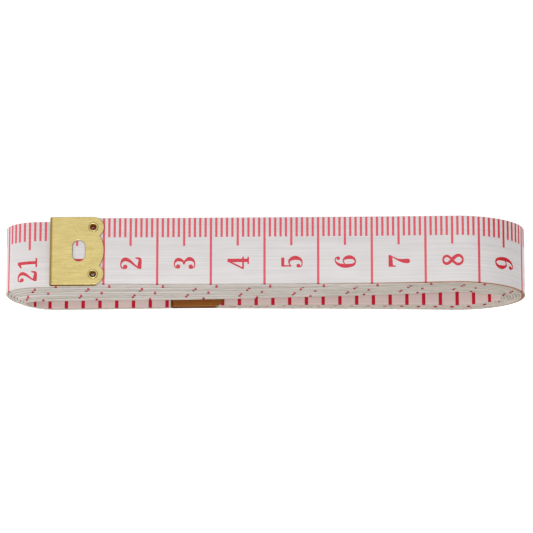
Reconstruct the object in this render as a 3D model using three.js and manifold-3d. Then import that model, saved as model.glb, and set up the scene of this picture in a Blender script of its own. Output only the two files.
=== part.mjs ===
// A dressmaker's tape measure: a coated ribbon wound into a flat coil, with a folded brass
// ferrule held on each end by two eyelets. Millimetres, +Z up. The coil lies on z = 0 with
// its length along X. Its centimetre side faces out, and its outer end lies on top.
import * as THREE from "three";
import { mergeVertices } from "three/addons/utils/BufferGeometryUtils.js";
import Module from "manifold-3d";

const wasm = await Module();
wasm.setup();
const { Manifold, Mesh: SolidMesh } = wasm;

// Ribbon
const TAPE_WIDTH = 13;
const TAPE_THICKNESS = 0.45;
const TURNS = 8;
const WINDING_PITCH = 0.62;
const BEND_PITCH = 0.66;
const TURN_CLEARANCE = 0.46;
const ARC_STEPS = 12;
const SLOPE_ROUNDS = 12;

// Coil: its bends are quarter ellipses above and below the place where the ribbon is upright
const COIL_LENGTH = 97.2;
const COIL_HEIGHT = 15.8;
const RIGHT_REACH = 12;
const LEFT_TOP_REACH = 6.5;
const LEFT_FOOT_REACH = 9.5;
const LEFT_LIFT = 2.1;
const LEFT_LIFT_STEP = 0.1;
const LEFT_END_DROP = 2;
const TOP_RUN_SLOPE = Math.tan(THREE.MathUtils.degToRad(1.25));
const FAN_ANGLE = THREE.MathUtils.degToRad(0.122);
const FAN_REACH = 23.5;
const LOWER_RUN_SWAY = 0.4;
const START_INSET = 8.345;
const END_INSET = 30.745;

// Free end: lines across the ribbon where it bends, measured back from the right bend
const BEND_LINES = [44, 24, 4];
const BEND_LINE_GAP = 0.3;

// Ferrules
const FERRULE_LENGTH = 10.15;
const FERRULE_OVERHANG = 0.15;
const LEAF_THICKNESS = 0.25;
const LEAF_CLEARANCE = 0.04;
const CUSP_DEPTH = 0.8;
const CENTRE_BULGE = 0.8;
const SLOT_FROM_FOLD = 5.45;
const SLOT_WIDTH = 2.35;
const SLOT_LENGTH = 4.1;
const SEAT_CLEARANCE = 0.11;

// Eyelets
const EYELET_SPREAD = 4.6;
const EYELET_BARREL = 1.5;
const EYELET_BORE = 0.5;
const EYELET_MOUTH = 1.2;
const EYELET_FLANGE = 1.9;
const FUNNEL_DEPTH = 0.45;
const FLANGE_THICKNESS = 0.12;
const EYELET_CLEARANCE = 0.05;
const ROUND_STEPS = 16;

// Sizes worked out from the ones above
const woundThickness = WINDING_PITCH - TURN_CLEARANCE;
const rightTip = COIL_LENGTH / 2;
const leftTip = -COIL_LENGTH / 2;
const startX = leftTip + START_INSET;
const endX = leftTip + END_INSET;
const fanPivotX = rightTip + FAN_REACH;
const ferruleHalfWidth = TAPE_WIDTH / 2 + FERRULE_OVERHANG;
const foldInner = TAPE_THICKNESS / 2 + LEAF_CLEARANCE;
const foldOuter = foldInner + LEAF_THICKNESS;
const lobeRadius = ferruleHalfWidth - EYELET_SPREAD;
const eyeletFromFold = FERRULE_LENGTH - lobeRadius;
const barrelRadius = EYELET_BARREL / 2;
const holeRadius = barrelRadius + EYELET_CLEARANCE;
const tapeFromFold = foldOuter + LEAF_CLEARANCE;
const backStack = foldOuter - TAPE_THICKNESS / 2 + EYELET_CLEARANCE + FLANGE_THICKNESS;
const ferruleRoom = backStack + SEAT_CLEARANCE - (WINDING_PITCH - TAPE_THICKNESS);

// Heights of the ribbon's outer face on the lower and upper runs of a turn, counted from 0
const lowHeight = (turn) => turn * WINDING_PITCH + (turn === TURNS - 1 ? ferruleRoom : 0);
const highHeight = (turn) => COIL_HEIGHT - turn * WINDING_PITCH - (turn > 0 ? ferruleRoom : 0);

// A bend as the tip where the ribbon is upright, and the reach and rise of its two quarters
function rightBend(turn) {
  const upright = highHeight(1) / 2 + lowHeight(1) / 2;
  const reach = RIGHT_REACH - turn * BEND_PITCH;
  return {
    side: 1, tip: rightTip - turn * BEND_PITCH, upright,
    top: { reach, rise: highHeight(turn) - upright },
    foot: { reach, rise: upright - lowHeight(turn) },
  };
}
function leftBend(turn) {
  const high = highHeight(turn + 1) - LEFT_END_DROP;
  const upright = (lowHeight(turn) + high) / 2 + LEFT_LIFT - turn * LEFT_LIFT_STEP;
  return {
    side: -1, tip: leftTip + turn * BEND_PITCH, upright,
    top: { reach: LEFT_TOP_REACH - turn * BEND_PITCH, rise: high - upright },
    foot: { reach: LEFT_FOOT_REACH - turn * BEND_PITCH, rise: upright - lowHeight(turn) },
  };
}
const quarterX = (bend, quarter) => bend.tip - bend.side * quarter.reach;

// A point of a bend's outer face, and which way that face looks there
function bendPoint(bend, turned) {
  const [along, up] = [Math.cos(turned), Math.sin(turned)];
  const quarter = up < 0 ? bend.foot : bend.top;
  return {
    x: quarterX(bend, quarter) + quarter.reach * along,
    z: bend.upright + quarter.rise * up,
    angle: Math.atan2(quarter.reach * up, quarter.rise * along),
  };
}

// Slope of an upper run, which touches the tops of the two bends that it joins
function topSlope(turn) {
  if (turn === 0) return TOP_RUN_SLOPE;
  const [left, right] = [leftBend(turn - 1), rightBend(turn)];
  const span = quarterX(right, right.top) - quarterX(left, left.top);
  const crown = (bend, slope) => bend.upright + Math.hypot(bend.top.reach * slope, bend.top.rise);
  let slope = 0;
  for (let i = 0; i < SLOPE_ROUNDS; i++) slope = (crown(right, slope) - crown(left, slope)) / span;
  return slope;
}
const touchTurned = (bend, slope) => Math.atan2(bend.top.rise, -slope * bend.top.reach);

// The top run that carries the free end, as a straight line from the start of the ribbon
const topTilt = Math.atan(TOP_RUN_SLOPE);
const topTouch = bendPoint(rightBend(0), touchTurned(rightBend(0), TOP_RUN_SLOPE));
const topRunLength = (topTouch.x - startX) / Math.cos(topTilt);
function topPoint(fromStart) {
  const x = startX + fromStart * Math.cos(topTilt);
  return { x, z: topTouch.z + (x - topTouch.x) * TOP_RUN_SLOPE };
}

// Sideways place of a turn: each one swings a little further to the front, about a far pivot
const fanOffset = (layer, x) => -layer * Math.tan(FAN_ANGLE) * (fanPivotX - x);

// Lower runs start a little nearer the front at the right bend than they end at the left one
const lowerSway = (x) => LOWER_RUN_SWAY * (x - leftTip) / COIL_LENGTH;

function station(x, z, angle, layer, sway) {
  return { x, z, nx: Math.cos(angle), nz: Math.sin(angle), y: fanOffset(layer, x) - sway };
}
function arcStations(bend, from, to, layerFrom, layerTo, swayFrom, swayTo) {
  return Array.from({ length: ARC_STEPS + 1 }, (_, i) => {
    const between = (a, b) => THREE.MathUtils.lerp(a, b, i / ARC_STEPS);
    const { x, z, angle } = bendPoint(bend, between(from, to));
    return station(x, z, angle, between(layerFrom, layerTo), between(swayFrom, swayTo));
  });
}

// Points on the ribbon's outer face, from a place on the top run to the inner end
function windingStations(fromStart) {
  const first = topPoint(fromStart);
  const stations = [station(first.x, first.z, topTilt + Math.PI / 2, 0, 0)];
  for (let turn = 0; turn < TURNS; turn++) {
    const right = rightBend(turn);
    const down = touchTurned(right, topSlope(turn));
    stations.push(...arcStations(
      right, down, -Math.PI / 2, turn, turn, 0, lowerSway(quarterX(right, right.foot))));
    if (turn < TURNS - 1) {
      const left = leftBend(turn);
      const up = touchTurned(left, topSlope(turn + 1));
      stations.push(...arcStations(
        left, 1.5 * Math.PI, up, turn, turn + 1, lowerSway(quarterX(left, left.foot)), 0));
    }
  }
  const last = TURNS - 1;
  const lastX = endX + tapeFromFold;
  stations.push(station(lastX, lowHeight(last), -Math.PI / 2, last, lowerSway(lastX)));
  return stations;
}

// A closed strip: each station gives the four corners of the ribbon's section
function stripGeometry(stations, thickness) {
  const points = [];
  for (const s of stations) {
    for (const [side, depth] of [[-1, 0], [1, 0], [1, thickness], [-1, thickness]]) {
      points.push(s.x - s.nx * depth, s.y + side * TAPE_WIDTH / 2, s.z - s.nz * depth);
    }
  }
  const faces = [0, 1, 2, 0, 2, 3];
  for (let i = 0; i < stations.length - 1; i++) {
    for (let corner = 0; corner < 4; corner++) {
      const a = 4 * i + corner;
      const b = 4 * i + (corner + 1) % 4;
      faces.push(a, a + 4, b + 4, a, b + 4, b);
    }
  }
  const last = 4 * (stations.length - 1);
  faces.push(last, last + 2, last + 1, last, last + 3, last + 2);
  const geometry = new THREE.BufferGeometry();
  geometry.setAttribute("position", new THREE.Float32BufferAttribute(points, 3));
  geometry.setIndex(faces);
  return geometry;
}

// Least clear gap between turns: inner-face points against outer-face lines half a turn on
function leastGap(stations) {
  const inner = stations.map((s) => new THREE.Vector2(
    s.x - s.nx * woundThickness, s.z - s.nz * woundThickness));
  const outer = stations.map((s) => new THREE.Vector2(s.x, s.z));
  const between = (a, b, p) => {
    const run = b.clone().sub(a);
    const share = THREE.MathUtils.clamp(p.clone().sub(a).dot(run) / run.lengthSq(), 0, 1);
    return a.clone().addScaledVector(run, share).distanceTo(p);
  };
  let least = Infinity;
  for (let i = 0; i < inner.length - 1; i++) {
    for (const share of [0, 0.25, 0.5, 0.75]) {
      const p = inner[i].clone().lerp(inner[i + 1], share);
      for (let j = i + ARC_STEPS; j < outer.length - 1; j++) {
        least = Math.min(least, between(outer[j], outer[j + 1], p));
      }
    }
  }
  return least;
}

function ribbonLength(stations) {
  let length = 0;
  for (let i = 1; i < stations.length; i++) {
    const [a, b] = [stations[i - 1], stations[i]];
    length += Math.hypot(b.x - a.x, b.y - a.y, b.z - a.z);
  }
  return length;
}

// Solids for joining and cutting
function toSolid(geometry) {
  const bare = new THREE.BufferGeometry();
  bare.setAttribute("position", geometry.getAttribute("position").clone());
  if (geometry.index) bare.setIndex(geometry.index.clone());
  const merged = mergeVertices(bare, 1e-5);
  return new Manifold(new SolidMesh({
    numProp: 3,
    vertProperties: new Float32Array(merged.getAttribute("position").array),
    triVerts: new Uint32Array(merged.index.array),
  }));
}
function toGeometry(solid) {
  const mesh = solid.getMesh();
  const geometry = new THREE.BufferGeometry();
  geometry.setAttribute("position", new THREE.Float32BufferAttribute(mesh.vertProperties, 3));
  geometry.setIndex(Array.from(mesh.triVerts));
  return geometry;
}

// An upright prism of a plan shape, between two heights
function prism(shape, bottom, top) {
  const options = { depth: top - bottom, bevelEnabled: false, curveSegments: ROUND_STEPS / 2 };
  return new THREE.ExtrudeGeometry(shape, options).translate(0, 0, bottom);
}
function roundHole(x, y, radius) {
  const hole = new THREE.Path();
  hole.absarc(x, y, radius, 0, 2 * Math.PI, true);
  return hole;
}
function eyeletHoles() {
  return [-1, 1].map((side) => roundHole(eyeletFromFold, side * EYELET_SPREAD, holeRadius));
}

// Plan of a leaf: a lobe round each eyelet and a shallow bulge between the two cusps
function leafShape() {
  const cuspX = FERRULE_LENGTH - CUSP_DEPTH;
  const turn = Math.acos((cuspX - eyeletFromFold) / lobeRadius);
  const cuspY = EYELET_SPREAD - lobeRadius * Math.sin(turn);
  const bulgeRadius = (cuspY ** 2 + CENTRE_BULGE ** 2) / (2 * CENTRE_BULGE);
  const bulgeTurn = Math.asin(cuspY / bulgeRadius);
  const bulgeX = cuspX + CENTRE_BULGE - bulgeRadius;
  const shape = new THREE.Shape();
  shape.moveTo(0, -ferruleHalfWidth);
  shape.lineTo(eyeletFromFold, -ferruleHalfWidth);
  shape.absarc(eyeletFromFold, -EYELET_SPREAD, lobeRadius, -Math.PI / 2, turn, false);
  shape.absarc(bulgeX, 0, bulgeRadius, -bulgeTurn, bulgeTurn, false);
  shape.absarc(eyeletFromFold, EYELET_SPREAD, lobeRadius, -turn, Math.PI / 2, false);
  shape.lineTo(0, ferruleHalfWidth);
  shape.closePath();
  shape.holes.push(...eyeletHoles());
  return shape;
}
function slotShape() {
  const half = SLOT_WIDTH / 2;
  const straight = SLOT_LENGTH / 2 - half;
  const shape = new THREE.Shape();
  shape.absarc(SLOT_FROM_FOLD, straight, half, 0, Math.PI, false);
  shape.absarc(SLOT_FROM_FOLD, -straight, half, Math.PI, 2 * Math.PI, false);
  shape.closePath();
  return shape;
}

// Side view of the folded plate, stood across the ribbon
function foldedPlate() {
  const side = new THREE.Shape();
  side.moveTo(FERRULE_LENGTH, foldOuter);
  side.absarc(foldOuter, 0, foldOuter, Math.PI / 2, 1.5 * Math.PI, false);
  side.lineTo(FERRULE_LENGTH, -foldOuter);
  side.lineTo(FERRULE_LENGTH, -foldInner);
  side.absarc(foldOuter, 0, foldInner, 1.5 * Math.PI, Math.PI / 2, true);
  side.lineTo(FERRULE_LENGTH, foldInner);
  side.closePath();
  const width = 2 * ferruleHalfWidth;
  const options = { depth: width, bevelEnabled: false, curveSegments: ROUND_STEPS / 2 };
  const plate = new THREE.ExtrudeGeometry(side, options);
  return plate.rotateX(Math.PI / 2).translate(0, width / 2, 0);
}
function ferruleGeometry() {
  const plan = prism(leafShape(), -2 * foldOuter, 2 * foldOuter);
  const slot = prism(slotShape(), 0, 2 * foldOuter);
  return toGeometry(toSolid(foldedPlate()).intersect(toSolid(plan)).subtract(toSolid(slot)));
}

// An eyelet turned about its own axis: a tube with a flange and a funnel over each leaf
function eyeletGeometry() {
  const flange = EYELET_FLANGE / 2;
  const seat = foldOuter + EYELET_CLEARANCE;
  const face = seat + FLANGE_THICKNESS;
  const half = [
    [barrelRadius, 0],
    [barrelRadius, seat],
    [flange, seat],
    [flange - FLANGE_THICKNESS / 4, face - FLANGE_THICKNESS / 4],
    [flange - FLANGE_THICKNESS, face],
    [EYELET_MOUTH / 2, face],
    [EYELET_BORE / 2, face - FUNNEL_DEPTH],
  ];
  const under = half.slice(1).reverse().map(([r, z]) => [r, -z]);
  const ring = [...half, ...under, half[0]].map(([r, z]) => new THREE.Vector2(r, z));
  return new THREE.LatheGeometry(ring, ROUND_STEPS).rotateX(Math.PI / 2);
}

const brass = { color: "#d3bd7a", roughness: 0.32, metalness: 1 };
const dullBrass = { color: "#b39c60", roughness: 0.4, metalness: 1 };
const ribbon = { color: "#e4e1de", roughness: 0.55, metalness: 0 };
function piece(name, geometry, finish) {
  const mesh = new THREE.Mesh(geometry, new THREE.MeshStandardMaterial(finish));
  mesh.name = name;
  return mesh;
}
function tip(prefix) {
  const group = new THREE.Group();
  group.name = `${prefix}_tip`;
  group.add(piece(`${prefix}_ferrule`, ferruleGeometry(), brass));
  for (const [side, place] of [[-1, "near"], [1, "far"]]) {
    const eyelet = piece(`${prefix}_eyelet_${place}`, eyeletGeometry(), dullBrass);
    eyelet.position.set(eyeletFromFold, side * EYELET_SPREAD, 0);
    group.add(eyelet);
  }
  return group;
}

// A flat length of the free end, with its outer face up at half the ribbon's thickness
function leadGeometry(from, to, holes) {
  const shape = new THREE.Shape();
  shape.moveTo(from, -TAPE_WIDTH / 2);
  shape.lineTo(to, -TAPE_WIDTH / 2);
  shape.lineTo(to, TAPE_WIDTH / 2);
  shape.lineTo(from, TAPE_WIDTH / 2);
  shape.closePath();
  shape.holes.push(...holes);
  return prism(shape, -TAPE_THICKNESS / 2, TAPE_THICKNESS / 2);
}

// Free end, laid along the top run
const part = new THREE.Group();
part.name = "tape_measure";
const start = tip("start");
const startPoint = topPoint(0);
start.rotation.y = -topTilt;
start.position.set(
  startPoint.x + Math.sin(topTilt) * TAPE_THICKNESS / 2, 0,
  startPoint.z - Math.cos(topTilt) * TAPE_THICKNESS / 2);
const halfGap = BEND_LINE_GAP / 2;
const bendLines = BEND_LINES.map((fromBend) => topRunLength - fromBend);
const [lineThree, lineTwo, lineOne] = bendLines;
const leads = [
  ["tape_lead_1", lineTwo + halfGap, lineOne - halfGap, []],
  ["tape_lead_2", lineThree + halfGap, lineTwo - halfGap, []],
  ["tape_lead_3", tapeFromFold, lineThree - halfGap, eyeletHoles()],
];
for (const [name, from, to, holes] of leads) {
  start.add(piece(name, leadGeometry(from, to, holes), ribbon));
}
part.add(start);

// Inner end, on the last lower run
const lastLayer = TURNS - 1;
const end = tip("end");
const endY = fanOffset(lastLayer, endX) - lowerSway(endX);
end.rotation.z = Math.atan(lastLayer * Math.tan(FAN_ANGLE) - LOWER_RUN_SWAY / COIL_LENGTH);
end.position.set(endX, endY, lowHeight(lastLayer) + TAPE_THICKNESS / 2);
part.add(end);

// Winding, pierced for the end eyelets
const winding = windingStations(lineOne + halfGap);
end.updateMatrix();
let wound = toSolid(stripGeometry(winding, woundThickness));
for (const hole of eyeletHoles()) {
  const punch = prism(new THREE.Shape(hole.getPoints(ROUND_STEPS / 4)), -foldOuter, foldOuter);
  wound = wound.subtract(toSolid(punch.applyMatrix4(end.matrix)));
}
part.add(piece("tape_coil", toGeometry(wound), ribbon));

const wholeLength = lineOne + halfGap + ribbonLength(winding) + tapeFromFold;
console.log(`ribbon length ${wholeLength.toFixed(2)} mm over the ferrules`);
console.log(`least gap between turns ${leastGap(winding).toFixed(3)} mm`);
for (const line of bendLines) {
  const at = topPoint(line);
  console.log(`bend line ${line.toFixed(4)}: x ${at.x.toFixed(4)} z ${at.z.toFixed(4)}`);
}

export default part;
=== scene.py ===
# Tape measure: a flat coil of printed ribbon with brass ferrules. Sizes are in mm until placed.
import bisect
import math
import bmesh
import bpy
from mathutils import Matrix, Vector
from mathutils.geometry import delaunay_2d_cdt


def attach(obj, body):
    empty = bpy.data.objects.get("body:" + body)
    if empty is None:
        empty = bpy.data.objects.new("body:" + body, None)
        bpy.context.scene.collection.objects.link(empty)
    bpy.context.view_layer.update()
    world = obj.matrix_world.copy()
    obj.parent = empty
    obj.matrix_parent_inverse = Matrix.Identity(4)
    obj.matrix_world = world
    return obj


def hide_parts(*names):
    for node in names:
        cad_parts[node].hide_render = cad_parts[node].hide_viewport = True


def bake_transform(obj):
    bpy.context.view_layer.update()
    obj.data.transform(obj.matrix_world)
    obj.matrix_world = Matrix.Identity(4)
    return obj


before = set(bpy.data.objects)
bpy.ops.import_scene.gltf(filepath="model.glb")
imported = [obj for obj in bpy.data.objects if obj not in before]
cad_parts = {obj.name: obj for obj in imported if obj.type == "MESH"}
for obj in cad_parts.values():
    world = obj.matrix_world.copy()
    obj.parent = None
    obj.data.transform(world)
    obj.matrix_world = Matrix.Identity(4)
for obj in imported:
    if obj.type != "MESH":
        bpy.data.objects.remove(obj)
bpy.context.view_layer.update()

MM = 0.001

# Ribbon, as in the solids, but with its full thickness on the coil too
TAPE_WIDTH = 13.0
TAPE_THICKNESS = 0.45
TURNS = 8
WINDING_PITCH = 0.62

# The turns lie closer together at their bends than the thinner solids do
BEND_PITCH = 0.56

# Coil, as in the solids: its bends are quarter ellipses above and below the upright ribbon
COIL_LENGTH = 97.2
COIL_HEIGHT = 15.8
RIGHT_REACH = 12.0
LEFT_TOP_REACH = 6.5
LEFT_FOOT_REACH = 9.5
LEFT_LIFT = 2.1
LEFT_LIFT_STEP = 0.1
LEFT_END_DROP = 2.0
TOP_RUN_SLOPE = math.tan(math.radians(1.25))
FAN_SLOPE = math.tan(math.radians(0.122))
FAN_REACH = 23.5
LOWER_RUN_SWAY = 0.4
START_INSET = 8.345
END_INSET = 30.745
BEND_LINES = (4.0, 24.0, 44.0)

# Lower runs bow sideways between the bends: their sway at the middle, its slope and its curve
BOW = (0.28, 0.17, 0.3)

# Upper runs bow towards the viewer too and lean that way, most at the middle, up to a reach
UPPER_BOW = 0.14
UPPER_LEAN = 0.035
UPPER_MIDDLE = 2.3
UPPER_REACH = 36.0

# Near the right bend, each turn adds to the sway of lower runs and takes from that of upper ones
LOWER_SPREAD = 0.1
UPPER_GATHER = 0.066

# Ferrules and eyelets, as in the solids
FERRULE_LENGTH = 10.15
FERRULE_OVERHANG = 0.15
LEAF_THICKNESS = 0.25
LEAF_CLEARANCE = 0.04
CUSP_DEPTH = 0.8
CENTRE_BULGE = 0.8
SLOT_FROM_FOLD = 5.45
SLOT_WIDTH = 2.35
SLOT_LENGTH = 4.1
SEAT_CLEARANCE = 0.11
EYELET_SPREAD = 4.6
EYELET_BARREL = 1.5
EYELET_MOUTH = 1.2
EYELET_FLANGE = 1.9
FUNNEL_DEPTH = 0.45
FLANGE_THICKNESS = 0.12
EYELET_CLEARANCE = 0.05

HALF_WIDTH = TAPE_WIDTH / 2
FERRULE_HALF = HALF_WIDTH + FERRULE_OVERHANG
FOLD_INNER = TAPE_THICKNESS / 2 + LEAF_CLEARANCE
FOLD_OUTER = FOLD_INNER + LEAF_THICKNESS
FOLD_MIDDLE = (FOLD_INNER + FOLD_OUTER) / 2
LOBE_RADIUS = FERRULE_HALF - EYELET_SPREAD
EYELET_FROM_FOLD = FERRULE_LENGTH - LOBE_RADIUS
BARREL_RADIUS = EYELET_BARREL / 2
HOLE_RADIUS = BARREL_RADIUS + EYELET_CLEARANCE
TAPE_FROM_FOLD = FOLD_OUTER + LEAF_CLEARANCE
BACK_STACK = FOLD_OUTER - TAPE_THICKNESS / 2 + EYELET_CLEARANCE + FLANGE_THICKNESS
FERRULE_ROOM = BACK_STACK + SEAT_CLEARANCE - (WINDING_PITCH - TAPE_THICKNESS)
RIGHT_TIP = COIL_LENGTH / 2
LEFT_TIP = -COIL_LENGTH / 2
START_X = LEFT_TIP + START_INSET
END_X = LEFT_TIP + END_INSET
FAN_PIVOT = RIGHT_TIP + FAN_REACH

# Rounding of the sheet brass, and the eyelets' bore, wider than in the solids
RIM = 0.1
EYELET_BORE = 0.66

# Sideways wander of the turns, where it fades at both ends, and its waves: size, length, shift
WANDER_START = 110
WANDER_STOP = 40
WANDER_FADE = 60
WANDER_WAVES = ((0.045, 23.7, 0), (0.035, 9.1, 1.3))

# Print
TICK_WIDTH = 0.43
TICK_LENGTH = 3.82
HALF_TICK_LENGTH = 5.52
INCH = 25.4
EIGHTH_WIDTH = 0.65
INK_RISE = 0.012
INK_SINK = 0.03
DIGIT_STRETCH = (1.04, 1.0)
DIGIT_ACROSS = -2.12
DIGIT_DRIFT = 0.0045
DRIFT_END = 85
DIGIT_SHIFT = 0.1
ONE_SHIFT = 0.6
PAIR_ACROSS = -2.87
PAIR_SHIFT = -0.55
PAIR_PITCH = 2.7
PAIR_STRETCH = (0.87, 0.95)
INCH_DIGIT_ACROSS = 2.15
INCH_LINE_GAP = 0.3
FIGURE_MARGIN = 2.5

# Marks that the start ferrule covers, the one in its slot, and the inch marks' gap to the eyelets
COVERED_CM_END = 9
SLOT_MARK = 5
INCH_MARGIN = 1

# Drift of the centimetre marks after the second turn, before it and at one line at the left
SCALE_CREEP = 0.0036
CREEP_SPAN = (294, 715)
LATE_DRIFT = 0.32
LATE_FADE = (1100, 1500)
EARLY_SHIFT = 0.11
EARLY_SPAN = 104
LEFT_LINE = 200
LEFT_SHIFT = 0.35
LEFT_SPAN = (1.4, 3)

# Drift of the inch marks, by distance from the inner end
INCH_DRIFT = ((0, 0.36), (60, -0.19), (163, 0), (189, -0.17), (245, -0.6))

# How far the print that shows goes along the ribbon
SHOWN_CM_END = 320
SHOWN_INCH_START = 84

# Stretches along the ribbon where painted shade darkens its edge and its print: fade in, fade out
EDGE_SHADE_STRETCH = ((46, 72), (98, 112))
PRINT_SHADE_STRETCH = ((77, 85), (104, 112))

# Free end: each stretch of ribbon ends a little ahead of its bend line
BEND_AHEAD = 8.0
BEND_SPREAD = 16.0

# Fineness of the round forms, and the angles over which a rim stays sharp
RIBBON_HOLE_STEPS = 32
LEAF_HOLE_STEPS = 40
LOBE_STEPS = 26
BULGE_STEPS = 20
SLOT_STEPS = 24
FOLD_STEPS = 12
ROLL_STEPS = 12
EYELET_STEPS = 48
SHARP = 50
SHEET_SHARP = 20


# Path of the ribbon's outer face
def low_height(turn):
    return turn * WINDING_PITCH + (FERRULE_ROOM if turn == TURNS - 1 else 0)


def high_height(turn):
    return COIL_HEIGHT - turn * WINDING_PITCH - (FERRULE_ROOM if turn > 0 else 0)


# A bend as the tip where the ribbon is upright, and the reach and rise of its two quarters
def right_bend(turn):
    upright = (high_height(1) + low_height(1)) / 2
    reach = RIGHT_REACH - turn * BEND_PITCH
    return {"side": 1, "tip": RIGHT_TIP - turn * BEND_PITCH, "upright": upright,
            "top": (reach, high_height(turn) - upright),
            "foot": (reach, upright - low_height(turn))}


def left_bend(turn):
    high = high_height(turn + 1) - LEFT_END_DROP
    upright = (low_height(turn) + high) / 2 + LEFT_LIFT - turn * LEFT_LIFT_STEP
    return {"side": -1, "tip": LEFT_TIP + turn * BEND_PITCH, "upright": upright,
            "top": (LEFT_TOP_REACH - turn * BEND_PITCH, high - upright),
            "foot": (LEFT_FOOT_REACH - turn * BEND_PITCH, upright - low_height(turn))}


def quarter_x(bend, quarter):
    return bend["tip"] - bend["side"] * bend[quarter][0]


def on_bend(bend, turned):
    """A point of a bend's outer face, and which way that face looks there."""
    along, up = math.cos(turned), math.sin(turned)
    quarter = "foot" if up < 0 else "top"
    reach, rise = bend[quarter]
    x = quarter_x(bend, quarter) + reach * along
    return x, bend["upright"] + rise * up, math.atan2(reach * up, rise * along)


# Slope of an upper run, which touches the tops of the two bends that it joins
SLOPE_ROUNDS = 12


def crown(bend, slope):
    reach, rise = bend["top"]
    return bend["upright"] + math.hypot(reach * slope, rise)


def top_slope(turn):
    if turn == 0:
        return TOP_RUN_SLOPE
    left, right = left_bend(turn - 1), right_bend(turn)
    span = quarter_x(right, "top") - quarter_x(left, "top")
    slope = 0.0
    for _ in range(SLOPE_ROUNDS):
        slope = (crown(right, slope) - crown(left, slope)) / span
    return slope


def touch_turned(bend, slope):
    reach, rise = bend["top"]
    return math.atan2(rise, -slope * reach)


# The top run that carries the free end
TOP_TILT = math.atan(TOP_RUN_SLOPE)
TOUCH_X, TOUCH_Z, _ = on_bend(right_bend(0), touch_turned(right_bend(0), TOP_RUN_SLOPE))
TOP_RUN_LENGTH = (TOUCH_X - START_X) / math.cos(TOP_TILT)
START_Z = TOUCH_Z + (START_X - TOUCH_X) * TOP_RUN_SLOPE

# The route is a list of runs and bends, each with its length, step and a way to walk along it
UPPER_STEP = 1.0
LOWER_STEP = 2.0
BEND_STEP = 0.42
BEND_SAMPLES = 120
DOWN = -math.pi / 2
route = []


def end_sway(x):
    return LOWER_RUN_SWAY * (x - LEFT_TIP) / COIL_LENGTH


def near_right(x):
    """Nil up to the end of the inner ferrule, and 1 at the right tip."""
    first = END_X + FERRULE_LENGTH
    return max(0.0, (x - first) / (RIGHT_TIP - first)) ** 2


def mid_run(x):
    return max(0.0, 1 - ((x - UPPER_MIDDLE) / UPPER_REACH) ** 4) ** 2


def lower_sway(turn, x):
    u = x / RIGHT_TIP
    bow = end_sway(x) if turn == TURNS - 1 else BOW[0] + BOW[1] * u + BOW[2] * u * u
    return bow + turn * LOWER_SPREAD * near_right(x)


def upper_sway(turn, x):
    return UPPER_BOW * mid_run(x) - turn * UPPER_GATHER * near_right(x)


def between(a, b, share):
    return a + (b - a) * share


def add_run(start, end, angle, turn, sway_at, step):
    length = math.hypot(end[0] - start[0], end[1] - start[1])

    def walk(share):
        x = between(start[0], end[0], share)
        return x, between(start[1], end[1], share), angle, turn, sway_at(turn, x)

    route.append((length, step, walk))


def add_bend(bend, first, last, layers, sways):
    marks = [between(first, last, i / BEND_SAMPLES) for i in range(BEND_SAMPLES + 1)]
    points = [on_bend(bend, mark) for mark in marks]
    reached = [0.0]
    for a, b in zip(points, points[1:]):
        reached.append(reached[-1] + math.hypot(b[0] - a[0], b[1] - a[1]))

    def walk(share):
        along = share * reached[-1]
        i = min(max(bisect.bisect_right(reached, along) - 1, 0), BEND_SAMPLES - 1)
        part = (along - reached[i]) / (reached[i + 1] - reached[i])
        x, z, angle = on_bend(bend, between(marks[i], marks[i + 1], part))
        return x, z, angle, between(*layers, share), between(*sways, share)

    route.append((reached[-1], BEND_STEP, walk))


def upper_run(start, end, turn):
    add_run(start, end, math.atan(top_slope(turn)) - DOWN, turn, upper_sway, UPPER_STEP)


upper_run((START_X, START_Z), (TOUCH_X, TOUCH_Z), 0)
for turn in range(TURNS):
    right = right_bend(turn)
    slope = top_slope(turn)
    arrive = touch_turned(right, slope)
    right_foot = quarter_x(right, "foot")
    bottom = low_height(turn)
    add_bend(right, arrive, DOWN, (turn, turn),
             (upper_sway(turn, on_bend(right, arrive)[0]), lower_sway(turn, right_foot)))
    if turn == TURNS - 1:
        inner_end = (END_X + TAPE_FROM_FOLD, bottom)
        add_run((right_foot, bottom), inner_end, DOWN, turn, lower_sway, LOWER_STEP)
        break
    left, following = left_bend(turn), right_bend(turn + 1)
    left_foot = quarter_x(left, "foot")
    add_run((right_foot, bottom), (left_foot, bottom), DOWN, turn, lower_sway, LOWER_STEP)
    slope = top_slope(turn + 1)
    leave = touch_turned(left, slope)
    add_bend(left, 3 * math.pi / 2, leave, (turn, turn + 1), (lower_sway(turn, left_foot), 0))
    upper_run(on_bend(left, leave), on_bend(following, touch_turned(following, slope)), turn + 1)

starts = [0.0]
for length, _, _ in route:
    starts.append(starts[-1] + length)
ROUTE_END = starts[-1]
RIBBON_LENGTH = ROUTE_END + TAPE_FROM_FOLD


def fan_offset(layer, x):
    return -layer * FAN_SLOPE * (FAN_PIVOT - x)


def wander(s):
    gone_in = (s - WANDER_START) / WANDER_FADE
    left_over = (ROUTE_END - WANDER_STOP - s) / WANDER_FADE
    fade = min(max(gone_in, 0), 1) * min(max(left_over, 0), 1)
    return fade * sum(size * math.sin(s / length + shift) for size, length, shift in WANDER_WAVES)


def place(s, across, depth):
    """Where a place on the flat ribbon lies in the scene, in metres."""
    index = 0
    while index < len(route) - 1 and s > starts[index + 1]:
        index += 1
    length, _, walk = route[index]
    x, z, angle, layer, sway = walk((s - starts[index]) / length)
    y = fan_offset(layer, x) - sway + wander(s) + across
    lean = UPPER_LEAN * mid_run(x) * max(0.0, math.sin(angle))
    z += lean * across - math.sin(angle) * depth
    return Vector((x - math.cos(angle) * depth, y, z)) * MM


SAME_STATION = 0.02


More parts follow.
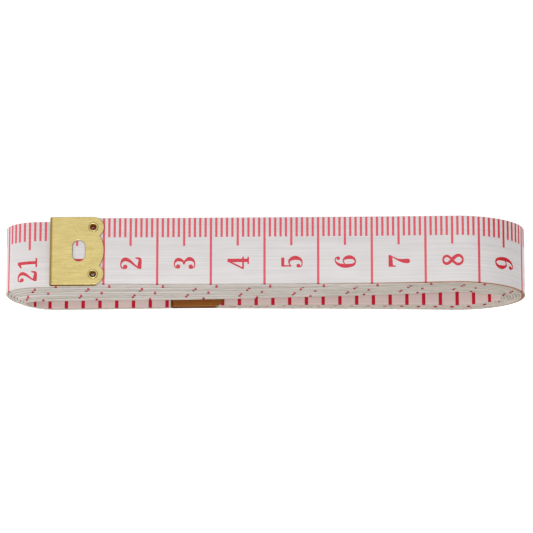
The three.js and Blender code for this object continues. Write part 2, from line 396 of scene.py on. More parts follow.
def stations(start, end):
    """Distances along the ribbon at which it gets a ring of points."""
    marks = [start, end]
    for index, (length, step, _) in enumerate(route):
        count = max(1, math.ceil(length / step))
        marks += [starts[index] + length * i / count for i in range(count + 1)]
    marks = sorted(m for m in marks if start <= m <= end)
    kept = [marks[0]]
    for mark in marks[1:]:
        if mark - kept[-1] > SAME_STATION:
            kept.append(mark)
    kept[-1] = end
    return kept


def arc(x, y, radius, start, end, steps):
    return [(x + radius * math.cos(start + (end - start) * i / steps),
             y + radius * math.sin(start + (end - start) * i / steps)) for i in range(steps + 1)]


def circle(x, y, radius, steps):
    return arc(x, y, radius, 0, 2 * math.pi, steps)[:-1]


# Section of the ribbon: across, depth and outward direction, round its four soft corners
EDGE_ROUND = 0.15
CORNER_TURNS = (0, 30, 60, 90)


def section():
    points = []
    corners = ((1, 0, 0), (1, 1, 90), (-1, 1, 180), (-1, 0, 270))
    for side, lower, first in corners:
        for turn in CORNER_TURNS:
            angle = math.radians(first + turn)
            out = (math.sin(angle), -math.cos(angle))
            middle_y = side * (HALF_WIDTH - EDGE_ROUND)
            middle_d = TAPE_THICKNESS - EDGE_ROUND if lower else EDGE_ROUND
            points.append((middle_y + EDGE_ROUND * out[0], middle_d + EDGE_ROUND * out[1], out))
    return points


SECTION = section()

# Points at the ends of its two wide sides; a side has the number of its first point
FAR_TOP, NEAR_TOP = 0, len(SECTION) - 1
FAR_BACK, NEAR_BACK = len(SECTION) // 2 - 1, len(SECTION) // 2

# Finishes, and how many sides of the far upper corner have that of the face
FACE, BACK, EDGE, INK, LINE = range(5)
FAR_CORNER_COATED = 2


def section_finish(i):
    if i == NEAR_TOP or i < FAR_CORNER_COATED:
        return FACE
    return BACK if i == FAR_BACK else EDGE


class Builder:
    """Collects points, each with its place on the flat ribbon, and faces with their finish."""

    def __init__(self):
        self.points, self.flat, self.faces, self.finish = [], [], [], []

    def point(self, at, flat):
        self.points.append(at)
        self.flat.append(flat)
        return len(self.points) - 1

    def ribbon_point(self, s, across, depth):
        return self.point(place(s, across, depth), (s, across, depth))

    def face(self, corners, finish):
        self.faces.append(corners)
        self.finish.append(finish)

    def mesh(self, name, materials, sharp):
        mesh = bpy.data.meshes.new(name)
        mesh.from_pydata(self.points, [], self.faces)
        for material in materials:
            mesh.materials.append(material)
        mesh.polygons.foreach_set("material_index", self.finish)
        mesh.polygons.foreach_set("use_smooth", [True] * len(self.faces))
        flat = mesh.attributes.new("flat", "FLOAT_VECTOR", "POINT")
        flat.data.foreach_set("vector", [value for point in self.flat for value in point])
        mesh.update()
        mesh.set_sharp_from_angle(angle=math.radians(sharp))
        return mesh


def link(name, mesh):
    piece = bpy.data.objects.new(name, mesh)
    bpy.context.scene.collection.objects.link(piece)
    return piece


# Flat plans of triangles
ALL_TRIANGLES, INSIDE_ONLY = 0, 1


def ring_edges(first, count):
    return [(first + i, first + (i + 1) % count) for i in range(count)]


def inside(point, loop):
    found = False
    for (x0, y0), (x1, y1) in zip(loop, loop[1:] + loop[:1]):
        if (y0 > point[1]) != (y1 > point[1]):
            if point[0] < x0 + (point[1] - y0) * (x1 - x0) / (y1 - y0):
                found = not found
    return found


def middle_of(plan, face):
    return sum((plan[i] for i in face), Vector((0, 0))) / 3


def faces_up(plan, face):
    a, b, c = (plan[i] for i in face)
    return (b - a).cross(c - a) > 0


def add_slab(builder, over, under, triangles, wide, rim):
    """Closes a thin slab: triangles on both its sides, and a rim along their open edges."""
    open_edges = {}
    for face in triangles:
        builder.face([over[i] for i in face], wide)
        builder.face([under[i] for i in reversed(face)], wide)
        for a, b in zip(face, face[1:] + face[:1]):
            if open_edges.pop((b, a), None) is None:
                open_edges[(a, b)] = True
    for a, b in open_edges:
        builder.face((over[b], over[a], under[a], under[b]), rim)


# Ribbon
PIERCED_REACH = 1.2
RIBBON_TOLERANCE = 1e-6


def sweep(builder, rings, open_steps):
    """Closes a strip over rings of points, but leaves its wide faces out of the open steps."""
    for step, (ring, following) in enumerate(zip(rings, rings[1:])):
        for i, j in ring_edges(0, len(ring)):
            if step not in open_steps or i not in (NEAR_TOP, FAR_BACK):
                corners = (ring[i], ring[j], following[j], following[i])
                builder.face(corners, section_finish(i))
    builder.face(tuple(reversed(rings[0])), EDGE)
    builder.face(tuple(rings[-1]), EDGE)


def add_ribbon(builder, start, end, eyelets_at):
    """A length of ribbon, pierced for two eyelets where that is asked for."""
    marks = stations(start, end)
    rings = []
    for s in marks:
        rings.append([builder.ribbon_point(s, across, depth) for across, depth, _ in SECTION])
    if eyelets_at is None:
        sweep(builder, rings, ())
        return
    first = max(i for i, s in enumerate(marks) if s < eyelets_at - PIERCED_REACH)
    last = min(i for i, s in enumerate(marks) if s > eyelets_at + PIERCED_REACH)
    sweep(builder, rings, range(first, last))
    walls = []
    for near, far, finish in ((NEAR_TOP, FAR_TOP, FACE), (NEAR_BACK, FAR_BACK, BACK)):
        rim = [rings[i][near] for i in range(first, last + 1)]
        rim += [rings[i][far] for i in range(last, first - 1, -1)]
        depth = SECTION[near][1]
        loops, holes = [rim], []
        for side in (-1, 1):
            hole = circle(eyelets_at, side * EYELET_SPREAD, HOLE_RADIUS, RIBBON_HOLE_STEPS)
            holes.append(hole)
            loops.append([builder.ribbon_point(s, across, depth) for s, across in hole])
        walls.append(loops[1:])
        known = [i for loop in loops for i in loop]
        plan = [Vector(builder.flat[i][:2]) for i in known]
        edges, at = [], 0
        for loop in loops:
            edges += ring_edges(at, len(loop))
            at += len(loop)
        out = delaunay_2d_cdt(plan, edges, [], INSIDE_ONLY, RIBBON_TOLERANCE)
        made, triangles, sources = out[0], out[2], out[3]
        for face in triangles:
            middle = middle_of(made, face)
            if any(inside(middle, hole) for hole in holes):
                continue
            corners = [known[sources[i][0]] for i in face]
            upward = faces_up(made, face)
            builder.face(corners if upward == (finish == FACE) else corners[::-1], finish)
    for over, under in zip(*walls):
        for i, j in ring_edges(0, len(over)):
            builder.face((over[i], over[j], under[j], under[i]), EDGE)


# Print as thin closed shells: bands for the lines, prisms for the figures
def add_band(builder, s, width, line):
    rings = []
    for across, depth, out in line:
        ring = []
        for shift, lift in ((-1, INK_RISE), (1, INK_RISE), (1, -INK_SINK), (-1, -INK_SINK)):
            ring.append(builder.ribbon_point(
                s + shift * width / 2, across + out[0] * lift, depth + out[1] * lift))
        rings.append(ring)
    for ring, following in zip(rings, rings[1:]):
        for i, j in ring_edges(0, len(ring)):
            builder.face((ring[i], following[i], following[j], ring[j]), LINE)
    builder.face(tuple(rings[0]), LINE)
    builder.face(tuple(reversed(rings[-1])), LINE)


# Routes of the lines over the section, from the corner where each starts
FAR_CORNER = [SECTION[1], SECTION[0]]
NEAR_CORNER = SECTION[-len(CORNER_TURNS):][::-1]
BACK_CORNER = [SECTION[NEAR_BACK + 1], SECTION[NEAR_BACK]]
UP, NEAR, UNDER = (0, -1), (-1, 0), (0, 1)
EDGE_LINE_GAP = 0.02


def face_line(length):
    return FAR_CORNER + [(HALF_WIDTH - length, 0, UP)]


def full_line():
    side = (-HALF_WIDTH, TAPE_THICKNESS - EDGE_ROUND - EDGE_LINE_GAP, NEAR)
    return FAR_CORNER + NEAR_CORNER + [side]


def back_line(length):
    return BACK_CORNER + [(-HALF_WIDTH + length, TAPE_THICKNESS, UNDER)]


# Figures: strokes of changing width, balls and plates in a box 2.4 wide and 4 high
FIGURE_HALF = 2
FIGURE_SLICE = 0.5
FIGURE_TOLERANCE = 1e-4
SPLINE_STEPS = 7
BALL_STEPS = 20


def spline(points):
    """Points along a smooth curve through the given ones, widths too."""
    ends = [points[0]] + list(points) + [points[-1]]
    out = []
    for a, b, c, d in zip(ends, ends[1:], ends[2:], ends[3:]):
        for i in range(SPLINE_STEPS):
            t = i / SPLINE_STEPS
            out.append(tuple(
                0.5 * (2 * q + (r - p) * t + (2 * p - 5 * q + 4 * r - w) * t * t
                       + (3 * q - p - 3 * r + w) * t ** 3)
                for p, q, r, w in zip(a, b, c, d)))
    return out + [tuple(points[-1])]


def stroke(*points):
    line = spline(points)
    left, right = [], []
    for i, (x, y, width) in enumerate(line):
        before, after = line[max(i - 1, 0)], line[min(i + 1, len(line) - 1)]
        run = Vector((after[0] - before[0], after[1] - before[1])).normalized()
        left.append((x - run.y * width / 2, y + run.x * width / 2))
        right.append((x + run.y * width / 2, y - run.x * width / 2))
    return [[right[i], right[i + 1], left[i + 1], left[i]] for i in range(len(line) - 1)]


def ball(x, y, radius):
    return [circle(x, y, radius, BALL_STEPS)]


def plate(*corners):
    return [list(corners)]


def box(x0, y0, x1, y1):
    return plate((x0, y0), (x1, y0), (x1, y1), (x0, y1))


def turned(shapes):
    return [[(-x, -y) for x, y in shape] for shape in shapes]


SIX = (
    ball(0.62, 1.36, 0.34)
    + stroke((0.88, 1.42, 0.18), (0.66, 1.84, 0.2), (0.12, 1.9, 0.24), (-0.5, 1.32, 0.5),
             (-0.8, 0.1, 0.74), (-0.6, -1.4, 0.52), (0, -1.88, 0.24))
    + stroke((0, -1.88, 0.24), (0.62, -1.46, 0.5), (0.82, -0.66, 0.72), (0.58, 0.14, 0.48),
             (0.08, 0.44, 0.22), (-0.42, 0.16, 0.2)))
FIGURES = {
    0: stroke((0, 1.88, 0.24), (0.6, 1.45, 0.48), (0.8, 0, 0.76), (0.6, -1.45, 0.48),
              (0, -1.88, 0.24))
    + stroke((0, 1.88, 0.24), (-0.6, 1.45, 0.48), (-0.8, 0, 0.76), (-0.6, -1.45, 0.48),
             (0, -1.88, 0.24)),
    1: box(-0.33, -1.9, 0.33, 2)
    + box(-0.98, -2, 0.98, -1.66)
    + plate((0.2, 2), (-0.2, 2), (-1.0, 1.44), (-1.0, 1.1), (-0.3, 1.36)),
    2: ball(-0.64, 1.06, 0.42)
    + stroke((-0.94, 0.98, 0.2), (-0.82, 1.7, 0.26), (-0.1, 1.88, 0.26), (0.6, 1.5, 0.6),
             (0.76, 0.9, 0.72), (0.36, 0.1, 0.52), (-0.36, -0.74, 0.34), (-0.94, -1.6, 0.3))
    + stroke((-1.02, -1.74, 0.48), (-0.4, -1.6, 0.74), (0.36, -1.68, 0.64),
             (0.86, -1.6, 0.5), (1.05, -0.8, 0.2)),
    3: ball(-0.6, 1.2, 0.4)
    + ball(-0.64, -1.16, 0.42)
    + stroke((-0.88, 1.14, 0.18), (-0.72, 1.74, 0.22), (-0.02, 1.9, 0.24), (0.6, 1.48, 0.58),
             (0.66, 0.92, 0.64), (0.36, 0.3, 0.4), (-0.2, 0.12, 0.24))
    + stroke((-0.2, 0.12, 0.24), (0.46, -0.16, 0.42), (0.8, -0.84, 0.74), (0.6, -1.5, 0.56),
             (0, -1.88, 0.24), (-0.74, -1.74, 0.22), (-0.94, -1.1, 0.18)),
    4: box(0.12, -1.9, 0.76, 2)
    + box(-0.25, -2, 1.1, -1.72)
    + box(-1.15, -1.06, 1.12, -0.74)
    + stroke((0.4, 1.96, 0.3), (-0.3, 0.6, 0.3), (-1.02, -0.84, 0.3)),
    5: box(-0.78, 1.4, 0.86, 1.98)
    + box(-0.82, 0.1, -0.56, 1.9)
    + ball(-0.66, -1.2, 0.36)
    + stroke((-0.74, 0.16, 0.2), (-0.2, 0.5, 0.26), (0.42, 0.36, 0.5), (0.8, -0.5, 0.76),
             (0.58, -1.46, 0.56), (0, -1.88, 0.24), (-0.74, -1.74, 0.22), (-0.94, -1.16, 0.18)),
    6: SIX,
    7: plate((-1.1, 2), (-1.1, 1.3), (-0.7, 1.18), (0.94, 1.3), (1.12, 1.9), (1.06, 2))
    + plate((-1.1, 2), (-1.12, 0.66), (-0.94, 0.62), (-0.78, 1.3), (-0.7, 1.9))
    + stroke((1.02, 1.86, 0.2), (0.62, 1.0, 0.22), (0.16, 0.1, 0.4), (-0.04, -0.9, 0.76),
             (-0.06, -1.6, 0.86))
    + ball(-0.06, -1.57, 0.43),
    8: stroke((0, 1.86, 0.34), (-0.54, 1.62, 0.48), (-0.72, 1.06, 0.54), (-0.3, 0.42, 0.6),
              (0.3, -0.1, 0.66), (0.8, -0.86, 0.58), (0.62, -1.54, 0.48), (0, -1.88, 0.34))
    + stroke((0, 1.86, 0.34), (0.52, 1.62, 0.44), (0.7, 1.06, 0.46), (0.3, 0.42, 0.44),
             (-0.3, -0.06, 0.46), (-0.84, -0.84, 0.52), (-0.62, -1.54, 0.46), (0, -1.88, 0.34)),
    9: turned(SIX),
}


def united(shapes):
    """Flat triangles that cover all the given shapes once."""
    points, edges = [], []
    for shape in shapes:
        edges += ring_edges(len(points), len(shape))
        points += [Vector(p) for p in shape]
    out = delaunay_2d_cdt(points, edges, [], ALL_TRIANGLES, FIGURE_TOLERANCE)
    plan, triangles = out[0], out[2]
    faces = []
    for face in triangles:
        middle = middle_of(plan, face)
        if any(inside(middle, shape) for shape in shapes):
            faces.append(face)
    return plan, faces


def sliced(points, faces):
    """Cuts a flat figure across its height, so that it can follow a bend."""
    work = bmesh.new()
    made = [work.verts.new((p.x, p.y, 0)) for p in points]
    for face in faces:
        work.faces.new([made[i] for i in face])
    bmesh.ops.dissolve_degenerate(work, dist=FIGURE_TOLERANCE, edges=work.edges[:])
    cut = FIGURE_SLICE - FIGURE_HALF
    while cut < FIGURE_HALF:
        every = work.verts[:] + work.edges[:] + work.faces[:]
        bmesh.ops.bisect_plane(work, geom=every, plane_co=(0, cut, 0), plane_no=(0, 1, 0))
        cut += FIGURE_SLICE
    loose = [v for v in work.verts if not v.link_faces]
    bmesh.ops.delete(work, geom=loose, context="VERTS")
    bmesh.ops.triangulate(work, faces=work.faces[:])
    work.verts.index_update()
    shape = [(v.co.x * DIGIT_STRETCH[0], v.co.y * DIGIT_STRETCH[1]) for v in work.verts]
    tris = []
    for f in work.faces:
        f.normal_update()
        corners = [v.index for v in f.verts]
        tris.append(corners if f.normal.z > 0 else corners[::-1])
    work.free()
    return shape, tris


FIGURE_MESHES = {number: sliced(*united(shapes)) for number, shapes in FIGURES.items()}


def add_figure(builder, number, s, across, back, stretch):
    """One figure, its top towards the zero of its own scale."""
    shape, tris = FIGURE_MESHES[number]
    face, inward = (TAPE_THICKNESS, -1) if back else (0, 1)
    rings = []
    for lift in (-INK_RISE, INK_SINK):
        depth = face + inward * lift
        rings.append([builder.ribbon_point(
            s - inward * stretch[1] * y, across + stretch[0] * x, depth) for x, y in shape])
    add_slab(builder, *rings, tris, INK, INK)


def add_number(builder, number, s, across, back):
    digits = [int(c) for c in str(number)]
    stretch = (1, 1) if len(digits) == 1 else PAIR_STRETCH
    first = across - PAIR_PITCH * (len(digits) - 1) / 2
    for i, digit in enumerate(digits):
        add_figure(builder, digit, s, first + i * PAIR_PITCH, back, stretch)


def add_centimetre_number(builder, mark):
    number = (mark + 5) // 10
    if number > 9:
        add_number(builder, number, mark + PAIR_SHIFT, PAIR_ACROSS, False)
    else:
        across = DIGIT_ACROSS - DIGIT_DRIFT * (DRIFT_END - mark) + (ONE_SHIFT if number == 1 else 0)
        add_number(builder, number, crept(mark) + DIGIT_SHIFT, across, False)


def crept(mark):
    """Where a mark lies: the print drifts a little, and runs long after the second turn."""
    if mark < CREEP_SPAN[0]:
        from_left = (LEFT_LINE - mark) / LEFT_SPAN[0], (mark - LEFT_LINE) / LEFT_SPAN[1]
        at_left = LEFT_SHIFT * max(0.0, 1 - max(from_left))
        return mark + EARLY_SHIFT * (1 - mark / EARLY_SPAN) + at_left
    from_right = (RIGHT_TIP - place(mark, 0, 0).x / MM) / COIL_LENGTH
    fade = min(1.0, (LATE_FADE[1] - mark) / (LATE_FADE[1] - LATE_FADE[0]))
    creep = SCALE_CREEP * (min(mark, CREEP_SPAN[1]) - CREEP_SPAN[0])
    return mark + creep + LATE_DRIFT * from_right * max(0.0, fade)


def inch_mark(reach):
    """Where an inch mark lies, from its distance to the inner end."""
    drift = INCH_DRIFT[-1][1]
    for (near, low), (far, high) in zip(INCH_DRIFT, INCH_DRIFT[1:]):
        if near <= reach < far:
            drift = between(low, high, (reach - near) / (far - near))
    return RIBBON_LENGTH - reach - drift


def inch_length(eighth):
    if eighth % 8 == 0:
        return TAPE_WIDTH - INCH_LINE_GAP
    return HALF_TICK_LENGTH if eighth % 4 == 0 else TICK_LENGTH


# Both scales on one stretch of ribbon
def add_print(builder, start, end, inch_from, inch_to):
    for mark in range(math.ceil(start), math.floor(end) + 1):
        covered = mark < COVERED_CM_END and mark != SLOT_MARK
        if covered or mark > ROUTE_END - FERRULE_LENGTH:
            continue
        if mark % 10 == 0:
            add_band(builder, crept(mark), TICK_WIDTH, full_line())
        elif mark < SHOWN_CM_END:
            length = HALF_TICK_LENGTH if mark % 10 == 5 else TICK_LENGTH
            add_band(builder, crept(mark), TICK_WIDTH, face_line(length))
        if mark % 10 == 5 and mark < SHOWN_CM_END:
            add_centimetre_number(builder, mark)
    for eighth in range(1, int(RIBBON_LENGTH / INCH * 8)):
        reach = eighth * INCH / 8
        s = inch_mark(reach)
        near_tip = reach < EYELET_FROM_FOLD + INCH_MARGIN or s < FERRULE_LENGTH
        if near_tip or not (start < s < end and inch_from < s < inch_to):
            continue
        add_band(builder, s, EIGHTH_WIDTH, back_line(inch_length(eighth)))
        if eighth % 8 == 4 and start + FIGURE_MARGIN < s < end - FIGURE_MARGIN:
            add_number(builder, eighth // 8 + 1, s, INCH_DIGIT_ACROSS, True)


# Materials
WHITE = (1, 1, 1)


class Nodes:
    """Short ways to add nodes to one tree."""

    def __init__(self, tree):
        self.tree = tree

    def fill(self, node, inputs):
        """Links or sets inputs of a node."""
        for key, value in inputs.items():
            if isinstance(value, bpy.types.NodeSocket):
                self.tree.links.new(value, node.inputs[key])
            else:
                node.inputs[key].default_value = value

    def node(self, kind, inputs=None, **settings):
        made = self.tree.nodes.new(kind)
        for key, value in settings.items():
            setattr(made, key, value)
        self.fill(made, inputs or {})
        return made

    def flat(self, scale):
        """The place on the flat piece in millimetres, scaled along, across and through."""
        source = self.node("ShaderNodeAttribute", attribute_name="flat")
        inputs = {"Vector": source.outputs["Vector"], "Scale": scale}
        return self.node("ShaderNodeMapping", inputs).outputs["Vector"]

    def distance(self, axis):
        """Millimetres along (X), across (Y) or through (Z) the flat piece."""
        made = self.node("ShaderNodeSeparateXYZ", {"Vector": self.flat((1, 1, 1))})
        return made.outputs[axis]

    def noise(self, vector, detail=2.0, rough=0.5, scale=1.0):
        inputs = {"Vector": vector, "Scale": scale, "Detail": detail, "Roughness": rough}
        return self.node("ShaderNodeTexNoise", inputs).outputs["Fac"]

    def wave(self, vector, scale, distortion, direction):
        inputs = {"Vector": vector, "Scale": scale, "Distortion": distortion, "Detail": 1.0}
        return self.node("ShaderNodeTexWave", inputs, bands_direction=direction).outputs["Fac"]

    def warp(self):
        """Threads along the ribbon."""
        return self.wave(self.flat((0.004, 1, 0)), 1.05, 1.2, "Y")

    def ramp(self, factor, *stops):
        made = self.node("ShaderNodeValToRGB", {"Fac": factor})
        elements = made.color_ramp.elements
        while len(elements) < len(stops):
            elements.new(0.5)
        for element, (position, colour) in zip(elements, stops):
            element.position = position
            element.color = (*colour, 1)
        return made.outputs["Color"]

    def tinted(self, colour, *tints):
        """A colour multiplied by others in turn."""
        for tint in tints:
            inputs = {"Factor": 1.0, 6: colour, 7: tint}
            made = self.node("ShaderNodeMix", inputs, data_type="RGBA", blend_type="MULTIPLY")
            colour = made.outputs[2]
        return colour

    def span(self, value, low, high, from_low=0.0, from_high=1.0):
        inputs = {"Value": value, "From Min": from_low, "From Max": from_high,
                  "To Min": low, "To Max": high}
        return self.node("ShaderNodeMapRange", inputs).outputs["Result"]

    def math(self, operation, *values):
        inputs = dict(enumerate(values))
        return self.node("ShaderNodeMath", inputs, operation=operation).outputs["Value"]

    def stretch(self, fade_in, fade_out):
        """1 on a stretch along the piece, and 0 before and after it."""
        along = self.distance("X")
        begun, left = self.span(along, 0, 1, *fade_in), self.span(along, 1, 0, *fade_out)
        return self.math("MULTIPLY", begun, left)

    def bump(self, height, distance, strength):
        inputs = {"Height": height, "Strength": strength, "Distance": distance * MM}
        return self.node("ShaderNodeBump", inputs).outputs["Normal"]


def new_material(name):
    material = bpy.data.materials.new(name)
    material.use_nodes = True
    material.node_tree.nodes.clear()
    n = Nodes(material.node_tree)
    shader = n.node("ShaderNodeBsdfPrincipled")
    n.node("ShaderNodeOutputMaterial", {"Surface": shader.outputs["BSDF"]})
    return material, n, shader


def woven(name, pale, dark, roughness):
    """Coated weave: faint warp lines along the ribbon and finer weft across it."""
    material, n, shader = new_material(name)
    streaks = n.noise(n.flat((0.03, 3.4, 1)), 3.0, 0.65)
    patches = n.noise(n.flat((0.16, 0.3, 1)))
    warp = n.warp()
    weft = n.wave(n.flat((1, 0, 0)), 0.9, 0.4, "X")
    tone = n.ramp(streaks, (0.3, dark), (0.62, pale))
    soft = n.ramp(patches, (0.3, (0.955, 0.945, 0.95)), (0.7, WHITE))
    lines = n.ramp(warp, (0.0, (0.965, 0.965, 0.97)), (0.35, WHITE))
    height = n.math("ADD", warp, n.span(weft, 0.0, 0.4))
    n.fill(shader, {"Base Color": n.tinted(tone, soft, lines),
                    "Roughness": n.span(streaks, roughness - 0.06, roughness + 0.06),
                    "Normal": n.bump(height, 0.012, 0.7),
                    "Specular IOR Level": 0.35})
    return material


def cut_edge(name):
    """Slit edge of the ribbon: tan fibres, clogged with coating, and browned along the first bend
    by painted shade.
    """
    material, n, shader = new_material(name)
    fibres = n.noise(n.flat((0.5, 9, 9)), 4.0, 0.65)
    patches = n.noise(n.flat((0.09, 0.4, 0.4)))
    tone = n.ramp(fibres, (0.3, (0.35, 0.31, 0.265)), (0.65, (0.55, 0.51, 0.46)))
    soft = n.ramp(patches, (0.3, (0.9, 0.88, 0.84)), (0.7, WHITE))
    # painted shade: the edge is browned along the first bend, standing for the shadow in the gap
    # between the first turn and the second
    inner = n.span(n.distance("Z"), 0, 1, -0.03, 0.04)
    painted_shade = n.math("MULTIPLY", n.stretch(*EDGE_SHADE_STRETCH), inner)
    gap_shade = n.ramp(painted_shade, (0, WHITE), (1, (0.72, 0.38, 0.19)))
    n.fill(shader, {"Base Color": n.tinted(tone, soft, gap_shade),
                    "Roughness": 0.75,
                    "Normal": n.bump(fibres, 0.02, 0.6),
                    "Specular IOR Level": 0.2})
    return material


def ink(name, pale, deep):
    """Printed red, uneven over the weave and deeper on the near edge; painted shade makes it deeper
    at the first bend and on the back.
    """
    material, n, shader = new_material(name)
    grain = n.noise(n.flat((3.4, 2.6, 1)), 3.0, 0.6)
    tone = n.ramp(grain, (0.3, deep), (0.68, pale))
    lines = n.ramp(n.warp(), (0.0, (0.9, 0.88, 0.9)), (0.4, WHITE))
    # painted shade: the ink on the back, inside the coil, is a darker, deeper red; the same tint
    # also darkens the ink on the near edge
    depth = n.span(n.distance("Z"), 0, 1, 0.0, 0.06)
    rounded = n.span(n.distance("Y"), 1, 0, -HALF_WIDTH + 0.07, -HALF_WIDTH + 0.16)
    back_shade_and_edge_tint = n.ramp(n.math("MAXIMUM", depth, rounded), (0, WHITE), (1, (0.66, 0.03, 0.15)))
    pooled = n.ramp(rounded, (0, WHITE), (1, (0.42, 0.32, 0.5)))
    # painted shade: the print is deeper red where the first bend turns away from the light
    bend_shade = n.ramp(n.stretch(*PRINT_SHADE_STRETCH), (0, WHITE), (1, (0.88, 0.36, 0.42)))
    n.fill(shader, {"Base Color": n.tinted(tone, lines, pooled, back_shade_and_edge_tint, bend_shade),
                    "Roughness": n.span(grain, 0.5, 0.66),
                    "Specular IOR Level": 0.15})
    return material


def brushed_brass(name, pale, deep, roughness):
    """Sheet brass: brush lines along the tape, faint stains, painted shade on the rims and the
    leaves' inner sides, and a painted dark reflection along the fold.
    """
    material, n, shader = new_material(name)
    brush = n.noise(n.flat((0.35, 5.5, 2)), 4.0, 0.7)
    patches = n.noise(n.flat((0.4, 0.5, 0.4)), 3.0)
    specks = n.noise(n.flat((2.4, 3.2, 2.4)), 2.0, 0.4)
    tone = n.ramp(brush, (0.28, deep), (0.66, pale))
    patina = n.ramp(patches, (0.3, (0.93, 0.925, 0.9)), (0.62, WHITE))
    stain = n.ramp(specks, (0.25, (0.72, 0.68, 0.6)), (0.32, WHITE))
    # painted dark reflection: the curved fold is darkened brown
    from_fold = n.span(n.math("ABSOLUTE", n.distance("X")), 0, 1, 0, 2)
    fold = n.ramp(from_fold, (0.2, (0.5, 0.42, 0.3)), (0.36, WHITE))
    # painted shade: the leaves' inner sides, facing the tape, and their rounded rims are darkened
    outer = n.span(n.distance("Z"), 0, 1, LEAF_THICKNESS / 2 - RIM / 2, LEAF_THICKNESS / 2)
    painted_shade = n.ramp(outer, (0.2, (0.16, 0.12, 0.09)), (0.9, WHITE))
    n.fill(shader, {"Base Color": n.tinted(tone, patina, stain, fold, painted_shade),
                    "Metallic": 1.0,
                    "Roughness": n.span(brush, roughness - 0.06, roughness + 0.08),
                    "Normal": n.bump(brush, 0.005, 0.5)})
    return material


def rim_brass(name):
    """Sheared edge of the sheet: tarnished, and darker still as painted shade under the ferrule's
    near side.
    """
    material, n, shader = new_material(name)
    grain = n.noise(n.flat((4, 4, 9)), 3.0, 0.6)
    # painted shade on top of tarnish: the sheared edge is near black
    tone = n.ramp(grain, (0.3, (0.06, 0.042, 0.02)), (0.7, (0.16, 0.115, 0.05)))
    n.fill(shader, {"Base Color": tone, "Metallic": 1.0, "Roughness": n.span(grain, 0.35, 0.55)})
    return material


def eyelet_brass(name, pale, deep):
    """Rolled brass, dull on the flange, with painted shade down in the funnel and a painted shadow
    ring at its rim.
    """
    material, n, shader = new_material(name)
    radius = n.node("ShaderNodeVectorMath", {0: n.flat((1, 1, 0))}, operation="LENGTH")
    grain = n.noise(n.flat((5, 5, 5)), 3.0, 0.6)
    tone = n.ramp(grain, (0.3, deep), (0.7, pale))
    # painted shade: darker down the funnel and the bore, and a painted shadow ring round the
    # flange's outer rim
    depth = n.ramp(radius.outputs["Value"], (0.36, (0.5, 0.36, 0.2)), (0.58, (0.72, 0.55, 0.34)),
                   (0.68, WHITE), (0.83, WHITE), (0.92, (0.45, 0.37, 0.25)))
    n.fill(shader, {"Base Color": n.tinted(tone, depth),
                    "Metallic": 1.0,
                    "Roughness": n.span(grain, 0.25, 0.4)})
    return material


FACE_MATERIAL = woven("ribbon_face", (0.755, 0.725, 0.715), (0.651, 0.625, 0.622), 0.5)
# painted shade and painted red reflection: the back, seen only inside the coil, is darker and
# pinker than the face
SHADED_BACK_MATERIAL = woven("ribbon_back_painted_shade", (0.674, 0.557, 0.521), (0.597, 0.485, 0.451), 0.55)
EDGE_MATERIAL = cut_edge("ribbon_edge")
INK_MATERIAL = ink("red_figures", (0.7, 0.085, 0.11), (0.575, 0.035, 0.058))
LINE_MATERIAL = ink("red_lines", (0.8, 0.145, 0.19), (0.68, 0.09, 0.12))
RIBBON_FINISH = (FACE_MATERIAL, SHADED_BACK_MATERIAL, EDGE_MATERIAL, INK_MATERIAL, LINE_MATERIAL)
BRASS = brushed_brass("brass_sheet", (0.88, 0.725, 0.315), (0.68, 0.545, 0.21), 0.4)
# painted shade: a dark brown copy of the sheet brass for the inner ferrule, which lies in the
# coil's shadow
SHADED_BRASS = brushed_brass("brass_sheet_painted_shade", (0.4, 0.175, 0.043), (0.29, 0.115, 0.027), 0.45)
RIM_BRASS = rim_brass("brass_rim")
EYELET_BRASS = eyelet_brass("brass_eyelet", (0.82, 0.67, 0.3), (0.6, 0.48, 0.2))
# painted shade: a dark brown copy of the eyelet brass for the inner ferrule's eyelets, in the
# coil's shadow
SHADED_EYELET = eyelet_brass("brass_eyelet_painted_shade", (0.34, 0.15, 0.04), (0.24, 0.1, 0.025))


# Ribbon pieces
def ribbon_piece(name, start, end, inch_from, inch_to, eyelets_at):
    builder = Builder()
    add_ribbon(builder, start, end, eyelets_at)
    add_print(builder, start, end, inch_from, inch_to)
    return link(name, builder.mesh(name, RIBBON_FINISH, SHARP))


# Where each stretch of ribbon ends: a little before its bend line, seen from the coil
ends = [TOP_RUN_LENGTH - line + BEND_AHEAD for line in BEND_LINES]

# The core is the last two turns, and each turn has two bends and two runs
CORE_TURNS = 2
ROUTE_PARTS = 4
core_start = starts[ROUTE_PARTS * (TURNS - CORE_TURNS) + 1]
inner_eyelets = RIBBON_LENGTH - EYELET_FROM_FOLD
coil = ribbon_piece("ribbon_coil", ends[0], ROUTE_END, core_start, ROUTE_END, inner_eyelets)
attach(coil, "coil")
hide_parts("tape_coil")
for i in range(len(BEND_LINES)):
    outermost = i == len(BEND_LINES) - 1
    far_end = TAPE_FROM_FOLD if outermost else ends[i + 1]
    lead = ribbon_piece(f"ribbon_lead_{i + 1}", far_end, ends[i], 0, SHOWN_INCH_START,
                        EYELET_FROM_FOLD if outermost else None)
    place(ends[i], 0, 0)
    place(ends[i] - BEND_SPREAD, 0, 0)
    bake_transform(lead)
    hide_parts(f"tape_lead_{i + 1}")


# Ferrule: a flat blank, rounded at its rims, folded round the end of the ribbon
FOLD_ARC = math.pi * FOLD_MIDDLE
FOLD_LINES = [FOLD_ARC / 2 - FOLD_ARC * i / FOLD_STEPS for i in range(FOLD_STEPS + 1)]
SHEET_TOLERANCE = 1e-5
SHEET, SHEARED = 0, 1


